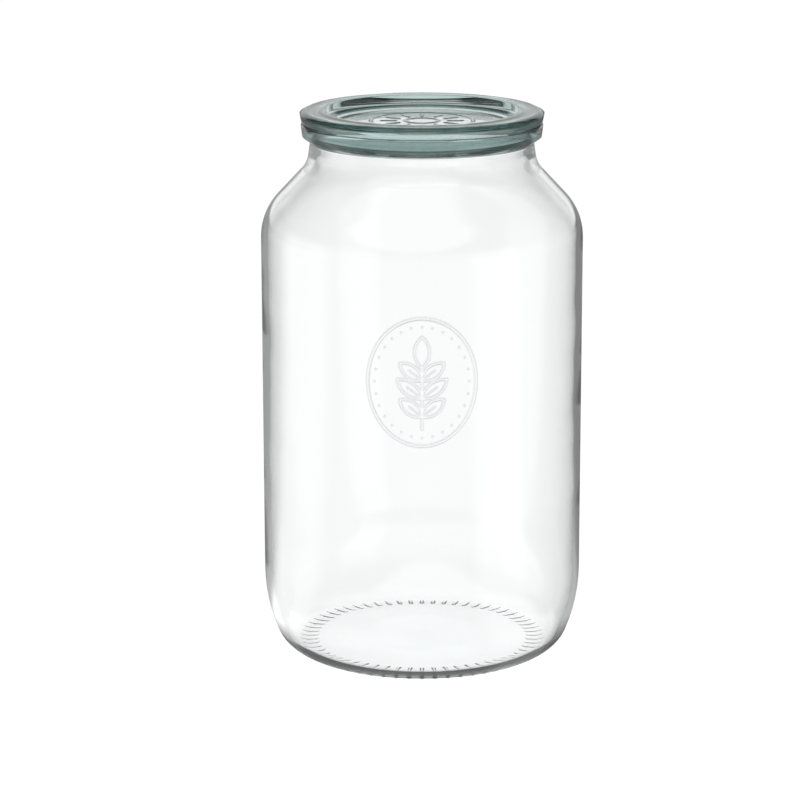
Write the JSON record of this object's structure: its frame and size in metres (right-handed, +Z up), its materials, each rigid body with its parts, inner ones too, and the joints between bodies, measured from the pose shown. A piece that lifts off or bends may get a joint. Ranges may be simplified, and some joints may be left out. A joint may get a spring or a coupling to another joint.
{
  "type": "glass canning jar",
  "caption": "Wide-mouthed clear glass canning jar with rounded shoulder and heel, a knurled foot, and a loose glass lid with a recessed top and a plug that sits in the mouth.",
  "frame": {"origin": "middle of the foot, on the plane that the jar stands on", "axes": "+Z up along the jar's axis, -Y towards the side that carries the raised badge"},
  "size_m": [0.1458, 0.1458, 0.2504],
  "materials": {
    "jar_glass": "clear, smooth, faint cool tint",
    "lid_glass": "clear, smooth, green-blue where it is thick"
  },
  "bodies": {
    "root": {"jar": "jar_glass", "lid": "lid_glass"}
  },
  "joints": []
}
